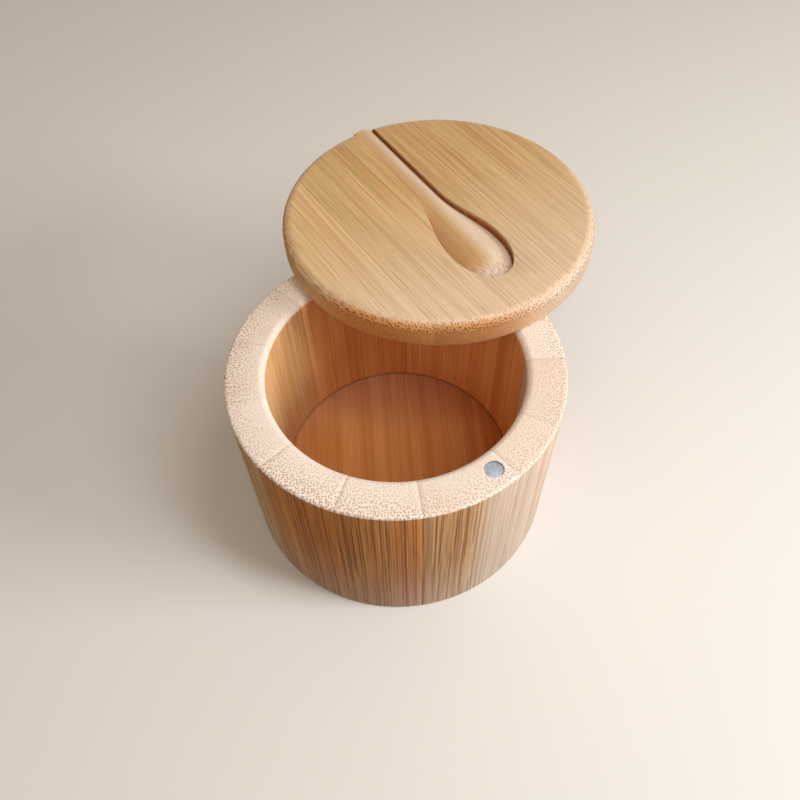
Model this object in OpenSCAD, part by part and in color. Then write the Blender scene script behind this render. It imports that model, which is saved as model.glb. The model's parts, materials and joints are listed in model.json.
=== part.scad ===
// Round bamboo salt box: a wall of glued staves, a let-in base disc, a board lid
// that swivels flat on an upright pin, a pair of closing magnets, and a small
// spoon that lies in a recess in the lid.
// Millimetres, +Z up, origin at the centre of the box on the table.
// The lid is drawn swung open; lid_swing = 0 would close it.

/* [Wall] */
// Outside diameter of the wall
body_d = 88; // [84:1:92]
// Height of the wall
body_h = 54.6; // [48:0.1:64]
// Thickness of the wall
wall_t = 10.3; // [9.8:0.1:11]
// Rounding of the rim's inner edge
rim_inner_round = 1.8; // [1:0.1:2]
// Rounding of the rim's outer edge
rim_outer_round = 0.8; // [0.4:0.1:1.2]
// Chamfer round the foot of the wall
foot_chamfer = 0.8; // [0.4:0.1:1.2]

/* [Base disc] */
// Thickness of the base disc, which is the height of the floor
base_t = 7.7; // [6:0.1:9]
// Depth of the rebate that the disc's edge sits in
rebate = 3.5; // [2:0.1:4.5]

/* [Lid] */
// Diameter of the lid
lid_d = 90; // [88:0.5:92]
// Thickness of the lid
lid_t = 8.1; // [8:0.1:9]
// Running gap between the rim and the lid
lid_gap = 0.2; // [0.1:0.05:0.5]
// Rounding of the lid's top edge
lid_top_round = 3; // [2:0.1:3.2]
// Rounding of the lid's bottom edge
lid_bottom_round = 1; // [0.5:0.1:1.5]
// How far the lid is swung open
lid_swing = 84; // [0:1:180]
// Width of the strips that the lid is glued from
strip_w = 20; // [18:0.5:22]
// Offset of the strips' joints across the grain
strip_shift = 6.7; // [5:0.1:8]

/* [Pivot and magnets] */
// Distance of the pivot and the magnets from the box's axis
pivot_r = 38.9; // [38.5:0.1:39.3]
// Diameter of the pivot pin
pin_d = 5; // [4:0.5:5.5]
// Depth of the pin's hole in the wall
pin_in_wall = 20; // [15:1:25]
// Depth of the pin's blind hole in the lid
pin_in_lid = 6; // [5:0.1:6.2]
// Diameter of the magnets
magnet_d = 4.7; // [4:0.1:5]
// Thickness of the magnets
magnet_t = 3; // [2:0.5:4]
// How far the magnets' faces are sunk
magnet_sink = 0.25; // [0.1:0.05:0.4]

/* [Spoon] */
// Reach of the recess from the lid's centre to the spoon's tip
tip_reach = 31.6; // [30:0.1:33]
// Half the recess's width at the bowl
bowl_half_w = 8.4; // [7.5:0.1:9]
// Half the recess's width at the neck
neck_half_w = 3.95; // [3.5:0.05:4.2]
// Half the recess's width at the handle's end
end_half_w = 3.35; // [3:0.05:3.8]
// Depth of the recess
recess_depth = 5.3; // [5:0.1:5.5]
// Gap between the spoon and the recess
spoon_gap = 0.35; // [0.3:0.05:0.5]
// Reach of the handle from the lid's centre
handle_reach = 44.6; // [42:0.1:44.8]

/* [Hidden] */
smooth = 96;
body_r = body_d / 2;
bore_r = body_r - wall_t;
rebate_r = bore_r + rebate;
lid_r = lid_d / 2;
lid_z = body_h + lid_gap;
lid_top = lid_z + lid_t;
spare = 1;

// Azimuths, counter-clockwise from +X. The staves' joints are read off the rim.
stave_joints = [1, 29, 57, 84, 116, 139.5, 167, 194.5, 222, 250, 277, 310, 332, 361];
staves = len(stave_joints) - 1;
pivot_az = 123;
magnet_az = -55;
pivot = [pivot_r * cos(pivot_az), pivot_r * sin(pivot_az), 0];
magnet_at = [pivot_r * cos(magnet_az), pivot_r * sin(magnet_az), 0];
pin_fit = 0.05;
glue_gap = 0.02;
pin_end_gap = 0.1;
small_chamfer = 0.4;

// Directions on the closed lid: its grain, and the spoon from handle to tip
grain_az = 38.5;
spoon_az = 216;
spoon_shift = 0.5;
lid_strips = 5;
middle_strip = (lid_strips - 1) / 2;
strip_edges = [
    -lid_r - spare,
    for (k = [0:lid_strips - 2]) strip_shift + (k - middle_strip) * strip_w,
    lid_r + spare
];

// Stations along the spoon, from the lid's centre towards the tip
flare_start = -6;
flare_end = 17;
egg_mid = 19;
outline_steps = 20;
tip_steps = 9;
// The last station stops short of the tip itself, which is closed by a small flat
tip_turn = 85;

// Heights of the spoon below the lid's top
bottom_gap = 0.1;
spoon_bottom = -recess_depth + bottom_gap;
handle_edge = -1.2;
bowl_edge = -3.2;
// The handle leans down to its right edge, and the bowl to its left edge
handle_lean = -0.7;
bowl_lean = 0.5;
crown = -0.2;
hollow_top = -2.1;
hollow_start = 6;
hollow_rim = 1.4;
least_half_w = 0.1;
crown_power = 0.8;
under_round = 0.3;
side_steps = 8;

function ease(t) = let (s = min(max(t, 0), 1)) s * s * (3 - 2 * s);
function mix(a, b, t) = a + (b - a) * t;
function sq(a) = a * a;

// Half the width of the recess at station x, less an inset g
function straight_w(x) = mix(end_half_w, neck_half_w, (x + handle_reach) / (handle_reach + flare_start));
function flare(x) = ease((x - flare_start) / (flare_end - flare_start));
function flare_w(x) = mix(min(straight_w(x), neck_half_w), bowl_half_w, flare(x));
function egg_w(x, g) = (bowl_half_w - g) * sqrt(max(0, 1 - sq((x - egg_mid) / (tip_reach - g - egg_mid))));
function half_w(x, g) = x < egg_mid ? flare_w(x) - g : egg_w(x, g);

// Stations from the handle's end to the tip, closer together towards the tip
function stations(x0, x1) = concat(
    [for (i = [0:outline_steps]) mix(x0, egg_mid, i / outline_steps)],
    [for (i = [1:tip_steps]) egg_mid + (x1 - egg_mid) * sin(i * tip_turn / tip_steps)]
);

module rounding_cut(r) {
    difference() {
        square(r + spare);
        circle(r, $fn = smooth);
    }
}

module wall_profile() {
    difference() {
        translate([bore_r, 0]) square([wall_t, body_h]);
        translate([bore_r - spare, -spare]) square([rebate + spare, base_t + spare]);
        translate([body_r - rim_outer_round, body_h - rim_outer_round]) rounding_cut(rim_outer_round);
        translate([bore_r + rim_inner_round, body_h - rim_inner_round])
            mirror([1, 0]) rounding_cut(rim_inner_round);
        polygon([
            [body_r - foot_chamfer, 0], [body_r - foot_chamfer, -spare],
            [body_r + spare, -spare], [body_r + spare, foot_chamfer], [body_r, foot_chamfer]
        ]);
    }
}

// One stave of the wall, between two of the joints seen on the rim
module stave(k) {
    from = stave_joints[k - 1];
    color([0.82, 0.64, 0.45]) difference() {
        rotate([0, 0, from]) rotate_extrude(angle = stave_joints[k] - from, $fn = smooth) wall_profile();
        translate(pivot + [0, 0, body_h - pin_in_wall])
            cylinder(d = pin_d + 2 * glue_gap, h = pin_in_wall + spare, $fn = smooth);
        translate(magnet_at + [0, 0, body_h - magnet_t - magnet_sink])
            cylinder(d = magnet_d + 2 * glue_gap, h = magnet_t + magnet_sink + spare, $fn = smooth);
    }
}

module base_disc() {
    color([0.75, 0.5, 0.3]) cylinder(r = rebate_r - glue_gap, h = base_t, $fn = smooth);
}

// A round bar with both ends chamfered
module chamfered_bar(d, h, c) {
    rotate_extrude($fn = smooth) polygon([
        [0, 0], [d / 2 - c, 0], [d / 2, c], [d / 2, h - c], [d / 2 - c, h], [0, h]
    ]);
}

module rim_magnet() {
    color([0.68, 0.71, 0.74]) translate(magnet_at + [0, 0, body_h - magnet_t - magnet_sink])
        chamfered_bar(magnet_d, magnet_t, small_chamfer / 2);
}

module pivot_pin() {
    color([0.7, 0.7, 0.72]) translate(pivot + [0, 0, body_h - pin_in_wall])
        chamfered_bar(pin_d, pin_in_wall + lid_gap + pin_in_lid - pin_end_gap, small_chamfer);
}

// Carries what is drawn on the closed lid round to where the lid stands
module on_lid() {
    translate(pivot) rotate([0, 0, lid_swing]) translate(-pivot) children();
}

module lid_board() {
    rotate_extrude($fn = smooth) difference() {
        translate([0, lid_z]) square([lid_r, lid_t]);
        translate([lid_r - lid_top_round, lid_top - lid_top_round]) rounding_cut(lid_top_round);
        translate([lid_r - lid_bottom_round, lid_z + lid_bottom_round])
            mirror([0, 1]) rounding_cut(lid_bottom_round);
    }
}

// The spoon's own axes: X from handle to tip, zero height at the lid's top
module on_spoon_axis() {
    translate([0, 0, lid_top]) rotate([0, 0, spoon_az]) translate([0, spoon_shift, 0]) children();
}

module recess() {
    xs = stations(-lid_r - spare, tip_reach);
    side = [for (x = xs) [x, half_w(x, 0)]];
    other = [for (i = [len(xs) - 2:-1:0]) [xs[i], -half_w(xs[i], 0)]];
    translate([0, 0, -recess_depth]) linear_extrude(recess_depth + spare) polygon(concat(side, other));
}

// One strip of the lid, cut along the grain, with what is bored and carved in it
module lid_strip(k) {
    from = strip_edges[k - 1];
    color([0.83, 0.66, 0.44]) on_lid() difference() {
        intersection() {
            lid_board();
            rotate([0, 0, grain_az]) translate([-lid_d, from, 0])
                cube([2 * lid_d, strip_edges[k] - from, lid_top + spare]);
        }
        on_spoon_axis() recess();
        translate(pivot + [0, 0, lid_z - spare])
            cylinder(d = pin_d + 2 * pin_fit, h = pin_in_lid + spare, $fn = smooth);
        translate(magnet_at + [0, 0, lid_z - spare])
            cylinder(d = magnet_d + 2 * glue_gap, h = magnet_t + magnet_sink + spare, $fn = smooth);
    }
}

module lid_magnet() {
    color([0.68, 0.71, 0.74]) on_lid() translate(magnet_at + [0, 0, lid_z + magnet_sink])
        chamfered_bar(magnet_d, magnet_t, small_chamfer / 2);
}

// Heights of the spoon's shoulder, crown and hollow at station x
tip_x = tip_reach - spoon_gap;
function edge_z(x, s) = mix(handle_edge + handle_lean * s, bowl_edge + bowl_lean * s, flare(x));
function fall(x) = x < egg_mid ? 1 : sqrt(max(0, 1 - sq((x - egg_mid) / (tip_x - egg_mid))));
function swell(x, s) = fall(x) * pow(max(0, 1 - sq(s)), crown_power);
function top_z(x, s) = mix(edge_z(x, s), crown, swell(x, s));
function hollow_mid() = (hollow_start + tip_x - hollow_rim) / 2;
function hollow_half() = (tip_x - hollow_rim - hollow_start) / 2;
function hollow_w(w) = max(w - hollow_rim, least_half_w);
function hollow_at(x, y, w) = max(0, 1 - sq((x - hollow_mid()) / hollow_half()) - sq(y / hollow_w(w)));
function under_z(s) = spoon_bottom + under_round * sq(s);
function bottom_z(x, s, w) = under_z(s) + (hollow_top - under_z(s)) * sqrt(hollow_at(x, s * w, w));

// One cross-section of the spoon: over the crown one way, back under the hollow
function spoon_ring(x) = let (w = half_w(x, spoon_gap)) concat(
    [for (i = [0:2 * side_steps]) let (s = sin(90 * (i / side_steps - 1))) [x, s * w, top_z(x, s)]],
    [for (i = [2 * side_steps:-1:0]) let (s = sin(90 * (i / side_steps - 1))) [x, s * w, bottom_z(x, s, w)]]
);

module spoon() {
    xs = stations(-handle_reach, tip_x);
    rings = [for (x = xs) spoon_ring(x)];
    n = len(rings[0]);
    last = len(xs) - 1;
    color([0.85, 0.68, 0.5]) on_lid() on_spoon_axis() polyhedron(
        points = [for (r = rings) each r],
        faces = concat(
            [[for (i = [n - 1:-1:0]) i]],
            [for (j = [0:last - 1], i = [0:n - 1]) [j * n + i, j * n + (i + 1) % n, (j + 1) * n + i]],
            [for (j = [0:last - 1], i = [0:n - 1])
                [(j + 1) * n + i, j * n + (i + 1) % n, (j + 1) * n + (i + 1) % n]],
            [[for (i = [0:n - 1]) last * n + i]]
        ),
        convexity = 6
    );
}

for (k = [1:staves]) stave(k);
base_disc();
rim_magnet();
pivot_pin();
for (k = [1:lid_strips]) lid_strip(k);
lid_magnet();
spoon();
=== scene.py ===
import json
import random
from math import cos, pi, radians, sin, sqrt

import bmesh
import bpy
from mathutils import Matrix, Vector


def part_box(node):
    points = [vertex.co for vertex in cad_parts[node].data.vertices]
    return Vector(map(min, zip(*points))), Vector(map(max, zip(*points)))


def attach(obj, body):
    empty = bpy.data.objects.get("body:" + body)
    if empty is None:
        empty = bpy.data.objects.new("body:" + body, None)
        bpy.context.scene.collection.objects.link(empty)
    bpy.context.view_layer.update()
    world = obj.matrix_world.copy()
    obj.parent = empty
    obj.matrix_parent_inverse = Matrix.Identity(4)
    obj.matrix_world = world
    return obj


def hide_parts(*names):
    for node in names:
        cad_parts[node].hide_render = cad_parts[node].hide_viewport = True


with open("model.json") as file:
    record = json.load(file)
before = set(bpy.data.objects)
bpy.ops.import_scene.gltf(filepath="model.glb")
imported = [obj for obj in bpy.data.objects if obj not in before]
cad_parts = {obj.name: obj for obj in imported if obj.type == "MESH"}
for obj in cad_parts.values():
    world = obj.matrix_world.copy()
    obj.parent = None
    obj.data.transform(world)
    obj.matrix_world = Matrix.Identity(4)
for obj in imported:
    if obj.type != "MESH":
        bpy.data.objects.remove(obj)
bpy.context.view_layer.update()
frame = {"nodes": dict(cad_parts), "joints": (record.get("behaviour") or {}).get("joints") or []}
scene = bpy.context.scene
mm = 0.001
near = 1e-6                       # m, points nearer than this are one
nearDrawn = 1e-5                  # the same for shapes that are drawn in mm
nearCut = 1e-7                    # m, points nearer than this to a plane lie on it
hinge = next(joint for joint in frame["joints"] if joint["name"] == "lid_swivel")
pivot = Vector(hinge["pos_m"])
print("frame loaded:", len(frame["nodes"]), "nodes")


# Camera
cameraView = {
    "aim": (0.91, 0, 39.02),      # mm, the point that it looks at
    "distance": 204.95,           # mm
    "elevation": 54.25,           # degrees
    "roll": -1.74,                # degrees
    "focal": 33.66,               # mm
    "sensor": 36,                 # mm
    "clipStart": 0.01,            # m
}


def placeCamera(settings):
    data = bpy.data.cameras.new("camera")
    data.lens = settings["focal"]
    data.sensor_width = settings["sensor"]
    data.clip_start = settings["clipStart"]
    camera = bpy.data.objects.new("camera", data)
    scene.collection.objects.link(camera)
    tilt = radians(90 - settings["elevation"])
    turn = Matrix.Rotation(tilt, 4, "X") @ Matrix.Rotation(radians(settings["roll"]), 4, "Z")
    aim = Vector(settings["aim"]) * mm
    away = turn.to_3x3() @ Vector((0, 0, settings["distance"] * mm))
    camera.matrix_world = Matrix.Translation(aim + away) @ turn
    scene.camera = camera


placeCamera(cameraView)


# Node helpers
def addNode(tree, kind, inputs, **settings):
    node = tree.nodes.new(kind)
    for key, value in settings.items():
        setattr(node, key, value)
    for key, value in inputs.items():
        if isinstance(value, bpy.types.NodeSocket):
            tree.links.new(value, node.inputs[key])
        else:
            node.inputs[key].default_value = value
    return node


def calc(tree, operation, a, b=0.0, c=0.0):
    return addNode(tree, "ShaderNodeMath", {0: a, 1: b, 2: c}, operation=operation).outputs[0]


def times(tree, a, b):
    return calc(tree, "MULTIPLY", a, b)


def vectorCalc(tree, operation, a, b):
    return addNode(tree, "ShaderNodeVectorMath", {0: a, 1: b}, operation=operation).outputs["Vector"]


def dot(tree, a, b):
    return addNode(tree, "ShaderNodeVectorMath", {0: a, 1: b}, operation="DOT_PRODUCT").outputs["Value"]


def remap(tree, value, start, end, low=0.0, high=1.0):
    ends = {"Value": value, "From Min": start, "From Max": end, "To Min": low, "To Max": high}
    return addNode(tree, "ShaderNodeMapRange", ends, interpolation_type="SMOOTHSTEP").outputs[0]


def mixColour(tree, factor, a, b, mode="MIX"):
    node = addNode(tree, "ShaderNodeMix", {0: factor, 6: a, 7: b}, data_type="RGBA", blend_type=mode)
    return node.outputs[2]


def noise(tree, vector, scale, detail=2.0, rough=0.5):
    inputs = {"Vector": vector, "Scale": scale, "Detail": detail, "Roughness": rough}
    return addNode(tree, "ShaderNodeTexNoise", inputs)


# sRGB, 0 to 255, to the linear colour that a socket takes
def tint(red, green, blue):
    def line(value):
        value /= 255
        return value / 12.92 if value <= 0.04045 else ((value + 0.055) / 1.055) ** 2.4
    return (line(red), line(green), line(blue), 1.0)


def newMaterial(name):
    material = bpy.data.materials.new(name)
    material.use_nodes = True
    return material, material.node_tree, material.node_tree.nodes["Principled BSDF"]


# Bamboo, cut from one solid pattern: bundles that show as dots across the grain and as streaks along it
bamboo = {
    "endPale": (247, 233, 221),
    "endFleck": (170, 122, 88),
    "endFacing": (0.03, 0.42),    # how far a face looks along the fibres, from side to end grain
    "endShade": (0.6, 0.5),       # of the dots: what crowding adds, and the least
    "sidePale": (232, 166, 94),
    "sideDeep": (214, 140, 70),
    "sideFleck": (100, 50, 16),
    "blush": (200, 112, 62),
    "blushShade": 0.5,
    "blushOnEnds": 0.12,
    # painted light: a paler tone laid where light falls on a lit side
    "paintedLight": (227, 204, 183),
    "paintedLightStreaks": 0.35,         # share of the streaks that shows in it
    "seam": (112, 62, 28),
    "seamShade": 0.55,
    "seamOnEnds": 0.45,           # share of it that shows on end grain
    "seamWidth": 0.16,            # mm
    "ringShade": 0.55,
    "evenDensity": 0.5,           # of the bundles, where they don't crowd
    "looseShade": 0.35,           # share of the streaks where the bundles are loose
    "bundleStep": 0.68,           # mm between bundles
    "bundleScatter": 0.8,
    "bundleSize": 0.16,           # share of the step, at the least
    "bundleSpread": 0.06,         # by which the sizes differ
    "bundleGrowth": 0.08,         # where they crowd
    "bundleSoft": 0.1,
    "bundleShade": 0.7,
    "bundleDepth": (0, 0.3, 0.7),
    "depthRange": (0.1, 0.7),
    "faintShade": 0.15,
    "streakShade": 0.74,
    "streakScale": 0.55,          # of the fibres' fineness
    "streakNoise": (3.0, 0.65),   # detail and roughness
    "streakRange": (0.52, 0.68),
    "wideShare": 0.5,             # of streakShade, for the wider streaks
    "fibreShade": 0.62,
    "fibreStep": 0.26,            # mm
    "fibreRun": 30,               # mm
    "fibreNoise": (2.0, 0.6),
    "fibreRange": (0.46, 0.72),
    "bandStep": 2.2,              # mm
    "bandRun": 120,               # mm
    "bandNoise": (2.0, 0.5),
    "bandRange": (0.3, 0.7),
    "cloudScale": 0.22,           # of the bands' fineness
    "cloudNoise": (1.0, 0.5),
    "cloudRange": (0.5, 0.75),
    "wobble": 0.5,                # mm
    "swayNoise": (90, 1.0),       # scale and detail
    "swayRun": 0.25,
    "tonePowers": (1, 1.3, 1.7),  # a darker wood is also a redder one
    "steepRange": (0.5, 0.05),    # from level faces to upright ones
    "roughness": 0.55,
    "roughSpread": 0.08,
    "gloss": 0.08,
    "fuzz": 0.12,
    "fuzzRough": 0.4,
    "fuzzTint": (255, 240, 228),
    "bump": 0.35,
    "bumpDepth": 0.06,            # mm
}


# Turns the fibres' direction to Z and the board's face to Y
def grainTurn(fibre, face):
    along = Vector(fibre).normalized()
    across = Vector(face).cross(along).normalized()
    return Matrix((across, along.cross(across), along))


# 1 where a radius or a height, in mm, is at the centre, and 0 where it is further off than the reach
def denseNear(tree, place, measure, centre, reach):
    mask = (1, 1, 0) if measure == "radius" else (0, 0, 1)
    vector = vectorCalc(tree, "MULTIPLY", place, mask)
    length = addNode(tree, "ShaderNodeVectorMath", {0: vector}, operation="LENGTH").outputs["Value"]
    off = calc(tree, "ABSOLUTE", calc(tree, "SUBTRACT", length, centre * mm))
    return remap(tree, off, reach * mm, 0)


# The place across and along the fibres, which sway a little
def swayingGrain(tree, place, look, turn, shift):
    inputs = {"Vector": place, "Rotation": turn.to_euler(), "Location": (shift, 0, shift)}
    grain = addNode(tree, "ShaderNodeMapping", inputs).outputs[0]
    slow = vectorCalc(tree, "MULTIPLY", grain, (1, 1, look["swayRun"]))
    sway = noise(tree, slow, *look["swayNoise"]).outputs["Color"]
    sway = vectorCalc(tree, "SUBTRACT", sway, (0.5, 0.5, 0.5))  # the mean of a noise
    reach = 2 * look["wobble"] * mm
    return vectorCalc(tree, "ADD", grain, vectorCalc(tree, "MULTIPLY", sway, (reach, reach, 0)))


# Dots across the grain, and how dark each bundle is along it
def bundleDots(tree, grain, look, density):
    cells = {"Vector": grain, "Scale": 1 / (look["bundleStep"] * mm), "Randomness": look["bundleScatter"]}
    bundle = addNode(tree, "ShaderNodeTexVoronoi", cells, voronoi_dimensions="2D").outputs
    grown = dot(tree, bundle["Color"], (look["bundleSpread"], look["bundleSpread"], 0))
    size = calc(tree, "MULTIPLY_ADD", density, look["bundleGrowth"], grown)
    size = calc(tree, "ADD", size, look["bundleSize"])
    gap = calc(tree, "SUBTRACT", bundle["Distance"], size)
    dots = remap(tree, gap, look["bundleSoft"], -look["bundleSoft"])
    depth = dot(tree, bundle["Color"], look["bundleDepth"])
    return dots, remap(tree, depth, *look["depthRange"], look["faintShade"], look["streakShade"])


def grainNoise(tree, grain, look, kind, pattern, share=1):
    long = vectorCalc(tree, "MULTIPLY", grain, (1, 1, look[kind + "Step"] / look[kind + "Run"]))
    scale = share / (look[kind + "Step"] * mm)
    return noise(tree, long, scale, *look[pattern + "Noise"]).outputs["Fac"]


def sideGrain(tree, place, look, fleck, density, bundles, fibres, streaks, bands, blush, paintedLight):
    side = mixColour(tree, remap(tree, bands, *look["bandRange"]), tint(*look["sidePale"]),
                     tint(*look["sideDeep"]))
    side = mixColour(tree, times(tree, blush, look["blushShade"]), side, tint(*look["blush"]))
    strength = calc(tree, "MULTIPLY_ADD", density, 1 - look["looseShade"], look["looseShade"])
    # painted light: paler towards the lit side, with fainter streaks there
    if paintedLight:
        share = remap(tree, dot(tree, place, paintedLight[0]), *paintedLight[1:])
        side = mixColour(tree, share, side, tint(*look["paintedLight"]))
        strength = times(tree, strength, remap(tree, share, 0, 1, 1, look["paintedLightStreaks"]))
    wide = look["wideShare"] * look["streakShade"] * fleck
    for pattern in (remap(tree, fibres, *look["fibreRange"], 0, look["fibreShade"]),
                    remap(tree, streaks, *look["streakRange"], 0, wide), bundles):
        side = mixColour(tree, times(tree, pattern, strength), side, tint(*look["sideFleck"]))
    return side


def endGrain(tree, place, look, fleck, density, dots, blush, paintedTopLight, paintedLitEnds):
    end = tint(*look["endPale"])
    # painted light: end grain paler towards the lit side
    if paintedLitEnds:
        share = remap(tree, dot(tree, place, paintedLitEnds[0]), *paintedLitEnds[1:])
        end = mixColour(tree, share, end, tint(*look["endPaintedLight"]))
    # painted light: end grain paler near the lid's top, where light falls on the rounding
    if paintedTopLight:
        end = mixColour(tree, denseNear(tree, place, *paintedTopLight), end, tint(*look["endPaintedTopLight"]))
    dark = times(tree, dots, calc(tree, "MULTIPLY_ADD", density, *look["endShade"]))
    end = mixColour(tree, times(tree, dark, look["bundleShade"] * fleck), end, tint(*look["endFleck"]))
    return mixColour(tree, times(tree, blush, look["blushOnEnds"]), end, tint(*look["blush"]))


def bambooMaterial(name, look, turn, tone=1.0, fleck=1.0, shift=0.0, dense=None, seams=(), ring=None,
                   paintedTopLight=None, recessShade=None, paintedLight=None, paintedLitEnds=None):
    material, tree, shader = newMaterial(name)
    coords = addNode(tree, "ShaderNodeTexCoord", {}).outputs
    place, normal = coords["Object"], coords["Normal"]
    density = denseNear(tree, place, *dense) if dense else look["evenDensity"]
    grain = swayingGrain(tree, place, look, turn, shift)
    dots, depth = bundleDots(tree, grain, look, density)
    fibres = grainNoise(tree, grain, look, "fibre", "fibre")
    streaks = grainNoise(tree, grain, look, "fibre", "streak", look["streakScale"])
    bands = grainNoise(tree, grain, look, "band", "band")
    cloud = grainNoise(tree, grain, look, "band", "cloud", look["cloudScale"])
    blush = remap(tree, cloud, *look["cloudRange"])

    side = sideGrain(tree, place, look, fleck, density, times(tree, dots, depth), fibres, streaks, bands,
                     blush, paintedLight)
    end = endGrain(tree, place, look, fleck, density, dots, blush, paintedTopLight, paintedLitEnds)
    endness = remap(tree, calc(tree, "ABSOLUTE", dot(tree, normal, turn[2])), *look["endFacing"])
    colour = mixColour(tree, endness, side, end)
    tones = (*(tone ** power for power in look["tonePowers"]), 1)
    colour = mixColour(tree, 1.0, colour, tones, "MULTIPLY")
    # painted shade: upright faces darker than level ones, as less light falls on them
    if paintedTopLight:
        uprightShade = remap(tree, calc(tree, "ABSOLUTE", dot(tree, normal, (0, 0, 1))), *look["steepRange"])
        colour = mixColour(tree, uprightShade, colour, tint(*look["paintedUprightShade"]), "MULTIPLY")
    # painted shade: the recess's walls and floor darkened
    if recessShade:
        colour = mixColour(tree, recessShade(tree, place), colour, tint(*look["recess"]), "MULTIPLY")
    for across, offset in seams:
        away = calc(tree, "ABSOLUTE", calc(tree, "SUBTRACT", dot(tree, place, across), offset))
        line = remap(tree, away, look["seamWidth"] * mm, 0, 0, look["seamShade"])
        line = times(tree, line, remap(tree, endness, 0, 1, 1, look["seamOnEnds"]))
        colour = mixColour(tree, line, colour, tint(*look["seam"]))
    # a dark line where the floor meets the bore: partly the glue joint, partly painted shade in that corner
    if ring:
        line = times(tree, denseNear(tree, place, *ring), look["ringShade"])
        line = times(tree, line, calc(tree, "SUBTRACT", 1.0, density)) if dense else line
        colour = mixColour(tree, line, colour, tint(*look["seam"]))
    tree.links.new(colour, shader.inputs["Base Color"])

    shine = remap(tree, fibres, *look["bandRange"], look["roughness"] - look["roughSpread"],
                  look["roughness"] + look["roughSpread"])
    tree.links.new(shine, shader.inputs["Roughness"])
    pores = mixColour(tree, endness, fibres, calc(tree, "SUBTRACT", 1.0, dots))
    relief = {"Height": pores, "Strength": look["bump"], "Distance": look["bumpDepth"] * mm}
    tree.links.new(addNode(tree, "ShaderNodeBump", relief).outputs[0], shader.inputs["Normal"])
    shader.inputs["Specular IOR Level"].default_value = look["gloss"]
    shader.inputs["Sheen Weight"].default_value = look["fuzz"]
    shader.inputs["Sheen Roughness"].default_value = look["fuzzRough"]
    shader.inputs["Sheen Tint"].default_value = tint(*look["fuzzTint"])
    return material


# Mesh helpers
smoothAngle = 40                  # degrees, sharper edges stay sharp
steepNormal = 0.1                 # the Z of a normal, below which its face is a wall


def bevelEdges(bm, edges, width, steps):
    bmesh.ops.bevel(bm, geom=edges, offset=width, offset_type="OFFSET", segments=steps, profile=0.5,
                    affect="EDGES", clamp_overlap=True, material=-1)


def roundCorner(bm, vert, width, steps):
    bmesh.ops.bevel(bm, geom=[vert], offset=width, offset_type="OFFSET", segments=steps, profile=0.5,
                    affect="VERTICES", clamp_overlap=False, material=-1)


# A rounding's width in metres, and its steps
def rounding(size):
    return size[0] * mm, size[1]


def setPiece(bm, name, material, slot, body, *nodes):
    bmesh.ops.remove_doubles(bm, verts=bm.verts, dist=near)
    bmesh.ops.recalc_face_normals(bm, faces=bm.faces)
    mesh = bpy.data.meshes.new(name)
    bm.to_mesh(mesh)
    bm.free()
    mesh.materials.append(material)
    mesh.shade_smooth()
    mesh.set_sharp_from_angle(angle=radians(smoothAngle))
    piece = bpy.data.objects.new(name, mesh)
    scene.collection.objects.link(piece)
    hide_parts(*nodes)
    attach(piece, body)


# Takes the cutter's shape out of bm and returns what is left
def cutWith(bm, cutter):
    pair = []
    for part in (bm, cutter):
        mesh = bpy.data.meshes.new("cut")
        part.to_mesh(mesh)
        part.free()
        pair.append(bpy.data.objects.new("cut", mesh))
        scene.collection.objects.link(pair[-1])
    cut = pair[0].modifiers.new("cut", "BOOLEAN")
    cut.operation = "DIFFERENCE"
    cut.solver = "EXACT"
    cut.object = pair[1]
    bpy.context.view_layer.update()
    result = bmesh.new()
    result.from_object(pair[0], bpy.context.evaluated_depsgraph_get())
    for piece in pair:
        mesh = piece.data
        bpy.data.objects.remove(piece)
        bpy.data.meshes.remove(mesh)
    return result


def roundBar(radius, low, high, x, y, steps=64):
    bm = bmesh.new()
    place = Matrix.Translation((x, y, (low + high) / 2))
    bmesh.ops.create_cone(bm, cap_ends=True, segments=steps, radius1=radius, radius2=radius,
                          depth=high - low, matrix=place)
    return bm


def levelEdges(bm, height):
    return [e for e in bm.edges if all(abs(v.co.z - height) < near for v in e.verts)]


def boxMiddle(node):
    low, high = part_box(node)
    return (low + high) / 2


# A look with the changes for one of its pieces
def lookOf(k, look, changes):
    look = dict(look)
    for pieces, values in changes.items():
        look.update(values if k in pieces else {})
    return look


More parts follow.
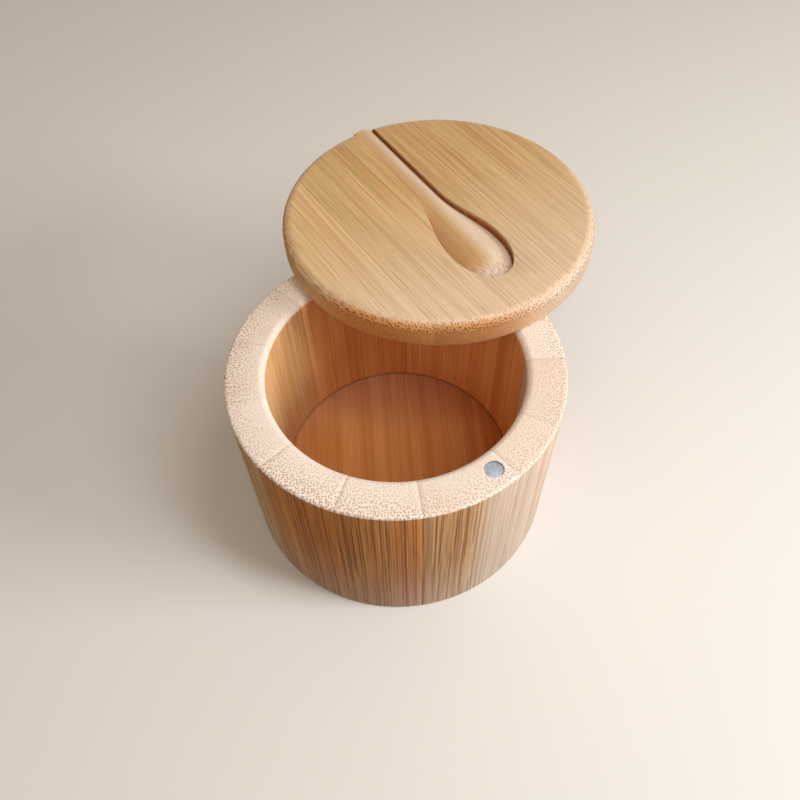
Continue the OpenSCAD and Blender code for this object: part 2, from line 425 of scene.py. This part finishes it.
# Wall
wall = {
    "diameter": 88,               # mm
    "thickness": 10.3,
    "innerRound": (1.8, 8),       # mm and steps
    "outerRound": (0.8, 5),
    "foot": (0.8, 2),
    "jointBevel": (0.05, 2),
    "rebate": 3.5,
    "joints": (1, 29, 57, 84, 116, 139.5, 167, 194.5, 222, 250, 277, 310, 332, 361),  # degrees
    "stepAngle": 2.0,
    "pinStave": 5,
    "pinHole": 2.52,              # mm, its radius
    "pinDepth": 20,
    "magnetStave": 11,
    "magnetHole": 2.37,
    "magnetDepth": 3.25,
    "seed": 11,
    "toneRange": (0.95, 1.02),
    "fleckRange": (0.7, 1.1),
    "patternStep": 0.03,          # m between the patterns of two staves
    "ringReach": 0.5,             # mm
    "looks": {                    # staves with tones of their own; some are painted light
        # painted light: paler inner faces, to lighten the shaded back of the bore
        (1, 2, 3, 4, 5): {"sidePale": (250, 192, 130), "sideDeep": (240, 170, 108), "blush": (226, 138, 86)},
        (6, 7, 8): {"sidePale": (232, 190, 136), "sideDeep": (218, 170, 112), "blush": (208, 148, 88)},
        (9,): {"sidePale": (230, 157, 76), "sideDeep": (210, 131, 54)},
        (11,): {"sidePale": (226, 183, 131), "sideDeep": (211, 163, 109), "blush": (202, 142, 90),
                "streakShade": 0.7},
        # painted light: paler, pinker sides where light from the right falls
        (12, 13): {"sidePale": (231, 210, 190), "sideDeep": (221, 197, 174), "blush": (218, 180, 150),
                   "sideFleck": (150, 110, 80), "endPale": (243, 225, 209), "streakShade": 0.4,
                   "fibreShade": 0.35},
    },
    "paintedLightStave": 11,              # turns paler along X, as painted light from the right
    "paintedLightFaces": (15, 24),        # mm, where that begins and ends
}
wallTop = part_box("stave_1")[1].z
outerRadius = wall["diameter"] / 2 * mm
boreRadius = outerRadius - wall["thickness"] * mm
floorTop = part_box("base_disc")[1].z


def turnStave(start, end, settings):
    inner = boreRadius + settings["rebate"] * mm
    bm = bmesh.new()
    corners = [(inner, 0), (outerRadius, 0), (outerRadius, wallTop), (boreRadius, wallTop),
               (boreRadius, floorTop), (inner, floorTop)]
    verts = [bm.verts.new((r, 0, z)) for r, z in corners]
    bm.faces.new(verts)
    for vert, size in zip(verts[1:4], ("foot", "outerRound", "innerRound")):
        roundCorner(bm, vert, *rounding(settings[size]))
    bmesh.ops.rotate(bm, verts=bm.verts, cent=(0, 0, 0), matrix=Matrix.Rotation(radians(start), 3, "Z"))
    steps = round((end - start) / settings["stepAngle"])
    bmesh.ops.spin(bm, geom=bm.verts[:] + bm.edges[:] + bm.faces[:], cent=(0, 0, 0), axis=(0, 0, 1),
                   angle=radians(end - start), steps=steps, use_duplicate=False)
    bmesh.ops.recalc_face_normals(bm, faces=bm.faces)
    caps = [f for f in bm.faces if len(f.verts) > 4]
    bevelEdges(bm, [e for f in caps for e in f.edges], *rounding(settings["jointBevel"]))
    return bm


def buildWall(settings):
    random.seed(settings["seed"])
    upright = grainTurn((0, 0, 1), (1, 0, 0))
    holes = {
        settings["pinStave"]: (pivot, settings["pinHole"], settings["pinDepth"]),
        settings["magnetStave"]: (boxMiddle("rim_magnet"), settings["magnetHole"], settings["magnetDepth"]),
    }
    paintedLightSpan = ((1, 0, 0), *(x * mm for x in settings["paintedLightFaces"]))
    for k in range(1, len(settings["joints"])):
        start, end = settings["joints"][k - 1:k + 1]
        bm = turnStave(start, end, settings)
        if k in holes:
            spot, radius, depth = holes[k]
            bm = cutWith(bm, roundBar(radius * mm, wallTop - depth * mm, wallTop + mm, spot.x, spot.y))
        material = bambooMaterial(
            f"wallBamboo{k}", lookOf(k, bamboo, settings["looks"]), upright,
            tone=random.uniform(*settings["toneRange"]), fleck=random.uniform(*settings["fleckRange"]),
            shift=settings["patternStep"] * k, dense=("radius", outerRadius / mm, settings["thickness"]),
            seams=[((-sin(radians(a)), cos(radians(a)), 0), 0.0) for a in (start, end)],
            ring=("height", floorTop / mm, settings["ringReach"]),
            paintedLight=paintedLightSpan if k == settings["paintedLightStave"] else None)
        setPiece(bm, f"staveTurned{k}", material, "wall_bamboo", "box", f"stave_{k}")


buildWall(wall)


# Base disc
base = {
    "steps": 180,
    "edgeRound": (0.15, 2),       # mm and steps
    "grain": 93,                  # degrees
    "ringReach": 1.1,             # mm
    "look": dict(bamboo, sidePale=(224, 161, 98), sideDeep=(210, 141, 80), sideFleck=(140, 72, 30),
                 streakShade=0.2, fibreShade=0.3, ringShade=0.4, gloss=0.02, fuzz=0.02),
}


def buildBase(settings):
    low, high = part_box("base_disc")
    bm = roundBar(high.x, low.z, high.z, 0, 0, settings["steps"])
    bevelEdges(bm, levelEdges(bm, low.z) + levelEdges(bm, high.z), *rounding(settings["edgeRound"]))
    way = radians(settings["grain"])
    turn = grainTurn((cos(way), sin(way), 0), (0, 0, 1))
    material = bambooMaterial("floorBamboo", settings["look"], turn,
                              ring=("radius", boreRadius / mm, settings["ringReach"]))
    setPiece(bm, "baseTurned", material, "floor_bamboo", "box", "base_disc")
    print("base disc turned")


buildBase(base)


# Spoon outline, shared by the recess
spoon = {
    "azimuth": 300,               # degrees, from handle to tip
    "shift": 0.5,                 # mm, to the left of the lid's centre line
    "handleReach": 44.6,          # mm from the lid's centre
    "tipReach": 31.6,
    "tipShare": 0.72,             # of the stations, that lie before the round tip
    "bowlHalf": 8.4,
    "neckHalf": 3.95,
    "endHalf": 3.35,
    "flareStart": -6,
    "flareEnd": 17,
    "eggMid": 19,
    "gap": 0.18,
    "bottom": -5.2,
    "handleEdge": -1.2,
    "handleLean": -0.7,
    "bowlEdge": -3.2,
    "bowlLean": 0.5,
    "crown": -0.2,
    "crownPower": 0.8,
    "hollowTop": -2.1,
    "hollowStart": 6,
    "hollowRim": 1.4,
    "leastHalf": 0.1,
    "cells": (96, 24),            # along and across each side
    "paintedLightFaces": (-2.4, 3.0),     # mm across, where the right side turns paler, as painted light from the right
    "look": dict(bamboo, endPale=(244, 224, 206), endFleck=(160, 112, 72), sidePale=(218, 180, 134),
                 sideDeep=(200, 158, 108), paintedLight=(223, 200, 177), paintedLightStreaks=0.7,
                 sideFleck=(158, 104, 58), blush=(198, 134, 90), streakShade=0.3, fibreShade=0.35,
                 fuzz=0.25),
}
lid = {
    "radius": 45,                 # mm
    "steps": 180,
    "topRound": (3, 10),          # mm and steps
    "bottomRound": (1, 4),
    "grain": 122.5,               # degrees, as it stands open
    "strips": (-33.3, -13.3, 6.7, 26.7),  # mm, the joints across the grain
    "recessDepth": 5.3,
    "recessCove": (0.8, 4),
    "recessEdge": (0.25, 3),
    "recessSteps": 110,
    "recessSpare": 2,
    "maskSpare": 0.2,             # mm beyond the recess that its shade reaches
    "maskDepth": (-0.2, -1.2),    # mm, where its shade starts and is full
    "pinHole": 2.55,
    "pinDepth": 6,
    "seed": 5,
    "tones": (0.94, 0.95, 0.98, 1.0, 1.04),
    "fleckRange": (0.7, 1.1),
    "patternStep": 0.05,          # m between the patterns of two strips
    # painted light: how far down from the top the end grain is paler
    "paintedTopLightDepth": 1.25,
    "denseDepth": 1.9,            # below the top, where the dots crowd
    "looks": {                    # the strip with a paler face
        (5,): {"sidePale": (230, 196, 147), "sideDeep": (212, 174, 122), "endPale": (214, 155, 97)},
    },
    "paintedLightWay": (0.5, -0.866, 0),  # towards the paler side of the lid, where light is painted on its top
    "paintedLightFaces": (-60, 10),       # mm along that way
    "paintedLitEnds": (16, -9),         # mm across the grain, where the end grain turns paler towards its lit side, as painted light
    # Its end grain is darker, as painted shade on the upright sides, and paler near the top, as painted
    # light; the recess is darkened as painted shade
    "look": dict(bamboo, endPale=(198, 143, 92), endPaintedTopLight=(228, 200, 169), endPaintedLight=(224, 202, 181),
                 endFleck=(92, 50, 22), paintedUprightShade=(246, 240, 232), fibreRun=16, bandRun=60, bandStep=1.0,
                 sidePale=(218, 185, 134), sideDeep=(199, 161, 107), sideFleck=(140, 88, 42),
                 blush=(204, 148, 98), recess=(218, 168, 124), paintedLight=(225, 198, 166), paintedLightStreaks=1.0,
                 streakShade=0.68, fibreShade=0.76),
}
stripCount = len(lid["strips"]) + 1
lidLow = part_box("lid_strip_3")[0].z
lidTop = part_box("lid_strip_3")[1].z


def ease(t):
    t = min(max(t, 0), 1)
    return t * t * (3 - 2 * t)


def mix(a, b, t):
    return a + (b - a) * t


def flare(x, s):
    return ease((x - s["flareStart"]) / (s["flareEnd"] - s["flareStart"]))


def halfWidth(x, inset, s):
    if x >= s["eggMid"]:
        run = (x - s["eggMid"]) / (s["tipReach"] - inset - s["eggMid"])
        return (s["bowlHalf"] - inset) * sqrt(max(0, 1 - run * run))
    along = (x + s["handleReach"]) / (s["handleReach"] + s["flareStart"])
    straight = mix(s["endHalf"], s["neckHalf"], along)
    return mix(min(straight, s["neckHalf"]), s["bowlHalf"], flare(x, s)) - inset


# Stations close up towards the round tip
def station(u, start, end, s):
    share = s["tipShare"]
    if u < share:
        return mix(start, s["eggMid"], u / share)
    return s["eggMid"] + (end - s["eggMid"]) * sin((u - share) / (1 - share) * pi / 2)


def lidCentre():
    lows = [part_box(f"lid_strip_{k}")[0] for k in range(1, stripCount + 1)]
    low = Vector((min(corner.x for corner in lows), min(corner.y for corner in lows), 0))
    return low + Vector((lid["radius"], lid["radius"], 0)) * mm


# From the spoon's own mm, along +X to its tip and down from the lid's top, to the scene
spoonPlace = (Matrix.Translation(lidCentre() + Vector((0, 0, lidTop)))
              @ Matrix.Rotation(radians(spoon["azimuth"]), 4, "Z")
              @ Matrix.Translation((0, spoon["shift"] * mm, 0)) @ Matrix.Scale(mm, 4))
spoonWay = radians(spoon["azimuth"])
spoonAlong = Vector((cos(spoonWay), sin(spoonWay), 0))
spoonAcross = Vector((-sin(spoonWay), cos(spoonWay), 0))


# 1 on the walls and the floor of the recess, where painted shade goes
def paintedRecessShade(tree, place):
    place = vectorCalc(tree, "SUBTRACT", place, tuple(spoonPlace.to_translation()))
    spare = lid["maskSpare"]
    along = dot(tree, place, spoonAlong)
    off = calc(tree, "ABSOLUTE", dot(tree, place, spoonAcross))
    reach = remap(tree, along, spoon["flareStart"] * mm, spoon["flareEnd"] * mm,
                  (spoon["neckHalf"] + spare) * mm, (spoon["bowlHalf"] + spare) * mm)
    inside = times(tree, calc(tree, "LESS_THAN", off, reach),
                   calc(tree, "LESS_THAN", along, (spoon["tipReach"] + spare) * mm))
    height = dot(tree, place, (0, 0, 1))
    return times(tree, inside, remap(tree, height, *(depth * mm for depth in lid["maskDepth"])))


def recessCutter(settings, s):
    bm = bmesh.new()
    spare = settings["recessSpare"]
    bmesh.ops.create_grid(bm, x_segments=settings["recessSteps"], y_segments=1, size=1)
    for v in bm.verts:
        x = station((v.co.x + 1) / 2, -settings["radius"] - spare, s["tipReach"], s)
        v.co = (x, v.co.y * halfWidth(x, 0, s), spare)
    bmesh.ops.remove_doubles(bm, verts=bm.verts, dist=nearDrawn)
    bmesh.ops.dissolve_faces(bm, faces=bm.faces)
    made = bmesh.ops.extrude_face_region(bm, geom=bm.faces[:])
    low = [g for g in made["geom"] if isinstance(g, bmesh.types.BMVert)]
    bmesh.ops.translate(bm, verts=low, vec=(0, 0, -spare - settings["recessDepth"]))
    bmesh.ops.recalc_face_normals(bm, faces=bm.faces)
    bevelEdges(bm, levelEdges(bm, -settings["recessDepth"]), *settings["recessCove"])
    bmesh.ops.transform(bm, verts=bm.verts, matrix=spoonPlace)
    return bm


def lidBoard(settings, s):
    centre = lidCentre()
    bm = roundBar(settings["radius"] * mm, lidLow, lidTop, centre.x, centre.y, settings["steps"])
    bevelEdges(bm, levelEdges(bm, lidTop), *rounding(settings["topRound"]))
    bevelEdges(bm, levelEdges(bm, lidLow), *rounding(settings["bottomRound"]))
    bm = cutWith(bm, recessCutter(settings, s))
    edges = [e for e in levelEdges(bm, lidTop) if any(abs(f.normal.z) < steepNormal for f in e.link_faces)]
    bevelEdges(bm, edges, *rounding(settings["recessEdge"]))
    for spot, radius, depth in ((pivot, settings["pinHole"], settings["pinDepth"]),
                                (boxMiddle("lid_magnet"), wall["magnetHole"], wall["magnetDepth"])):
        bm = cutWith(bm, roundBar(radius * mm, lidLow - mm, lidLow + depth * mm, spot.x, spot.y))
    return bm


def buildLid(settings, s):
    random.seed(settings["seed"])
    board = lidBoard(settings, s)
    way = radians(settings["grain"])
    along = Vector((cos(way), sin(way), 0))
    across = Vector((-sin(way), cos(way), 0))
    offset = lidCentre().dot(across)
    edges = [None, *settings["strips"], None]
    for k in range(1, stripCount + 1):
        bm = board.copy()
        seams = []
        for edge, side in ((edges[k - 1], 1), (edges[k], -1)):
            if edge is None:
                continue
            reach = offset + edge * mm
            cut = bmesh.ops.bisect_plane(bm, geom=bm.verts[:] + bm.edges[:] + bm.faces[:], dist=nearCut,
                                         plane_co=across * reach, plane_no=across * side, clear_inner=True)
            rim = [g for g in cut["geom_cut"] if isinstance(g, bmesh.types.BMEdge)]
            bmesh.ops.edgeloop_fill(bm, edges=rim)
            seams.append((tuple(across), reach))
        material = bambooMaterial(
            f"lidBamboo{k}", lookOf(k, settings["look"], settings["looks"]), grainTurn(along, (0, 0, 1)),
            tone=settings["tones"][k - 1], fleck=random.uniform(*settings["fleckRange"]),
            shift=settings["patternStep"] * k, seams=seams, recessShade=paintedRecessShade,
            dense=("height", lidTop / mm - settings["denseDepth"], settings["denseDepth"]),
            paintedTopLight=("height", lidTop / mm, settings["paintedTopLightDepth"]),
            paintedLight=(settings["paintedLightWay"], *(reach * mm for reach in settings["paintedLightFaces"])),
            paintedLitEnds=(tuple(across), *(offset + reach * mm for reach in settings["paintedLitEnds"])))
        setPiece(bm, f"lidBoard{k}", material, "lid_bamboo", "lid", f"lid_strip_{k}")
    board.free()
    print("lid glued from", stripCount, "strips")


buildLid(lid, spoon)


# Spoon
def spoonTop(x, side, s):
    edge = mix(s["handleEdge"] + s["handleLean"] * side, s["bowlEdge"] + s["bowlLean"] * side, flare(x, s))
    tip = s["tipReach"] - s["gap"]
    run = max(0, (x - s["eggMid"]) / (tip - s["eggMid"]))
    dome = sqrt(max(0, 1 - run * run)) * max(0, 1 - side * side) ** s["crownPower"]
    return edge + (s["crown"] - edge) * dome


def spoonUnder(x, side, s):
    half = halfWidth(x, s["gap"], s)
    end = s["tipReach"] - s["gap"] - s["hollowRim"]
    run = (x - (s["hollowStart"] + end) / 2) / ((end - s["hollowStart"]) / 2)
    over = side * half / max(half - s["hollowRim"], s["leastHalf"])
    depth = sqrt(max(0, 1 - run * run - over * over))
    return mix(s["bottom"], s["hollowTop"], depth)


def buildSpoon(s):
    bm = bmesh.new()
    tip = s["tipReach"] - s["gap"]
    for height in (spoonTop, spoonUnder):
        made = bmesh.ops.create_grid(bm, x_segments=s["cells"][0], y_segments=s["cells"][1], size=1)
        for v in made["verts"]:
            x = station((v.co.x + 1) / 2, -s["handleReach"], tip, s)
            side = sin(v.co.y * pi / 2)
            v.co = (x, side * halfWidth(x, s["gap"], s), height(x, side, s))
        bmesh.ops.remove_doubles(bm, verts=bm.verts, dist=nearDrawn)
    bmesh.ops.bridge_loops(bm, edges=[e for e in bm.edges if e.is_boundary])
    bmesh.ops.recalc_face_normals(bm, faces=bm.faces)
    bmesh.ops.transform(bm, verts=bm.verts, matrix=spoonPlace)
    middle = spoonAcross.dot(spoonPlace.to_translation())
    material = bambooMaterial("spoonBamboo", s["look"], grainTurn(spoonAlong, (0, 0, 1)),
                              paintedLight=(tuple(spoonAcross), *(middle + y * mm for y in s["paintedLightFaces"])))
    setPiece(bm, "spoonCarved", material, "spoon_bamboo", "spoon", "spoon")
    print("spoon carved")


buildSpoon(spoon)


# Magnets and pin
metal = {
    "nickel": (186, 193, 199),
    "nickelRough": 0.34,
    "steel": (178, 178, 180),
    "steelRough": 0.3,
    "roughSpread": (-0.06, 0.08),
    "scratchNoise": (9000, 2.0, 0.6),  # scale, detail and roughness
    "scratchRun": 0.08,
    "cloudNoise": (900, 3.0, 0.6),
    "cloudShade": 0.7,            # of the colour, where it is clouded
    "middling": (0.3, 0.7),       # the part of a noise that is used
    "bump": 0.2,
    "bumpDepth": 0.01,            # mm
    "edge": (0.18, 3),            # mm and steps
}


def metalMaterial(name, colour, roughness, settings):
    material, tree, shader = newMaterial(name)
    place = addNode(tree, "ShaderNodeTexCoord", {}).outputs["Object"]
    scratch = vectorCalc(tree, "MULTIPLY", place, (1, settings["scratchRun"], 1))
    fine = noise(tree, scratch, *settings["scratchNoise"]).outputs["Fac"]
    cloud = noise(tree, place, *settings["cloudNoise"]).outputs["Fac"]
    bright = tint(*colour)
    dark = (*(settings["cloudShade"] * c for c in bright[:3]), 1.0)
    colour = mixColour(tree, remap(tree, cloud, *settings["middling"]), bright, dark)
    tree.links.new(colour, shader.inputs["Base Color"])
    ends = [roughness + spread for spread in settings["roughSpread"]]
    tree.links.new(remap(tree, fine, *settings["middling"], *ends), shader.inputs["Roughness"])
    relief = {"Height": fine, "Strength": settings["bump"], "Distance": settings["bumpDepth"] * mm}
    tree.links.new(addNode(tree, "ShaderNodeBump", relief).outputs[0], shader.inputs["Normal"])
    shader.inputs["Metallic"].default_value = 1.0
    return material


def buildMetal(settings):
    nickel = metalMaterial("nickelPlate", settings["nickel"], settings["nickelRough"], settings)
    steel = metalMaterial("turnedSteel", settings["steel"], settings["steelRough"], settings)
    for node, piece, material, slot, body in (
            ("rim_magnet", "rimMagnetDisc", nickel, "magnet_nickel", "box"),
            ("lid_magnet", "lidMagnetDisc", nickel, "magnet_nickel", "lid"),
            ("pivot_pin", "pivotPinBar", steel, "pin_steel", "box")):
        low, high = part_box(node)
        middle = boxMiddle(node)
        bm = roundBar((high.x - low.x) / 2, low.z, high.z, middle.x, middle.y)
        bevelEdges(bm, levelEdges(bm, low.z) + levelEdges(bm, high.z), *rounding(settings["edge"]))
        setPiece(bm, piece, material, slot, body, node)
    print("magnets and pin turned")


buildMetal(metal)


# Studio
studio = {
    "floor": (232, 230, 227),     # as the camera sees it
    "floorBounce": (84, 74, 66),
    "floorRough": 0.8,
    "floorHalf": 3,               # m
    "floorCells": 8,
    "sky": (1.0, 0.81, 0.6),
    "skyLevel": 0.38,
    "backdrop": 0.9,
    "aim": (0, 0.02, 0.05),       # m, the point that the lamps look at
    "lamps": {
        "key": {"azimuth": -38, "elevation": 58, "distance": 0.34, "size": (0.05, 0.25), "power": 0.49},
        "side": {"azimuth": -14, "elevation": 18, "distance": 0.8, "size": (0.3, 0.3), "power": 5.0},
        "fill": {"azimuth": -95, "elevation": 42, "distance": 0.9, "size": (0.5, 0.5), "power": 0.65},
    },
}


def addLamp(name, s, aim):
    data = bpy.data.lights.new(name, "AREA")
    data.shape = "RECTANGLE"
    data.size, data.size_y = s["size"]
    data.energy = s["power"]
    lamp = bpy.data.objects.new(name, data)
    turn = Matrix.Rotation(radians(s["azimuth"] + 90), 4, "Z")
    tilt = Matrix.Rotation(radians(90 - s["elevation"]), 4, "X")
    lamp.matrix_world = Matrix.Translation(aim) @ turn @ tilt @ Matrix.Translation((0, 0, s["distance"]))
    scene.collection.objects.link(lamp)


def seenDirectly(tree):
    path = addNode(tree, "ShaderNodeLightPath", {}).outputs
    seen = calc(tree, "MAXIMUM", path["Is Camera Ray"], path["Is Glossy Ray"])
    return calc(tree, "MAXIMUM", seen, path["Is Transmission Ray"])


def layFloor(s):
    bm = bmesh.new()
    bmesh.ops.create_grid(bm, x_segments=s["floorCells"], y_segments=s["floorCells"], size=s["floorHalf"])
    mesh = bpy.data.meshes.new("floor")
    bm.to_mesh(mesh)
    bm.free()
    material, tree, shader = newMaterial("paleFloor")
    colour = mixColour(tree, seenDirectly(tree), tint(*s["floorBounce"]), tint(*s["floor"]))
    tree.links.new(colour, shader.inputs["Base Color"])
    shader.inputs["Roughness"].default_value = s["floorRough"]
    mesh.materials.append(material)
    floor = bpy.data.objects.new("floor", mesh)
    scene.collection.objects.link(floor)


def buildStudio(s):
    layFloor(s)
    for name, lamp in s["lamps"].items():
        addLamp(name, lamp, s["aim"])
    world = bpy.data.worlds.new("studio")
    world.use_nodes = True
    tree = world.node_tree
    backdrop = tree.nodes["Background"].inputs
    seen = seenDirectly(tree)
    tree.links.new(remap(tree, seen, 0, 1, s["skyLevel"], s["backdrop"]), backdrop["Strength"])
    tree.links.new(mixColour(tree, seen, (*s["sky"], 1), (1, 1, 1, 1)), backdrop["Color"])
    scene.world = world
    scene.view_settings.view_transform = "Standard"
    print("studio set")


buildStudio(studio)
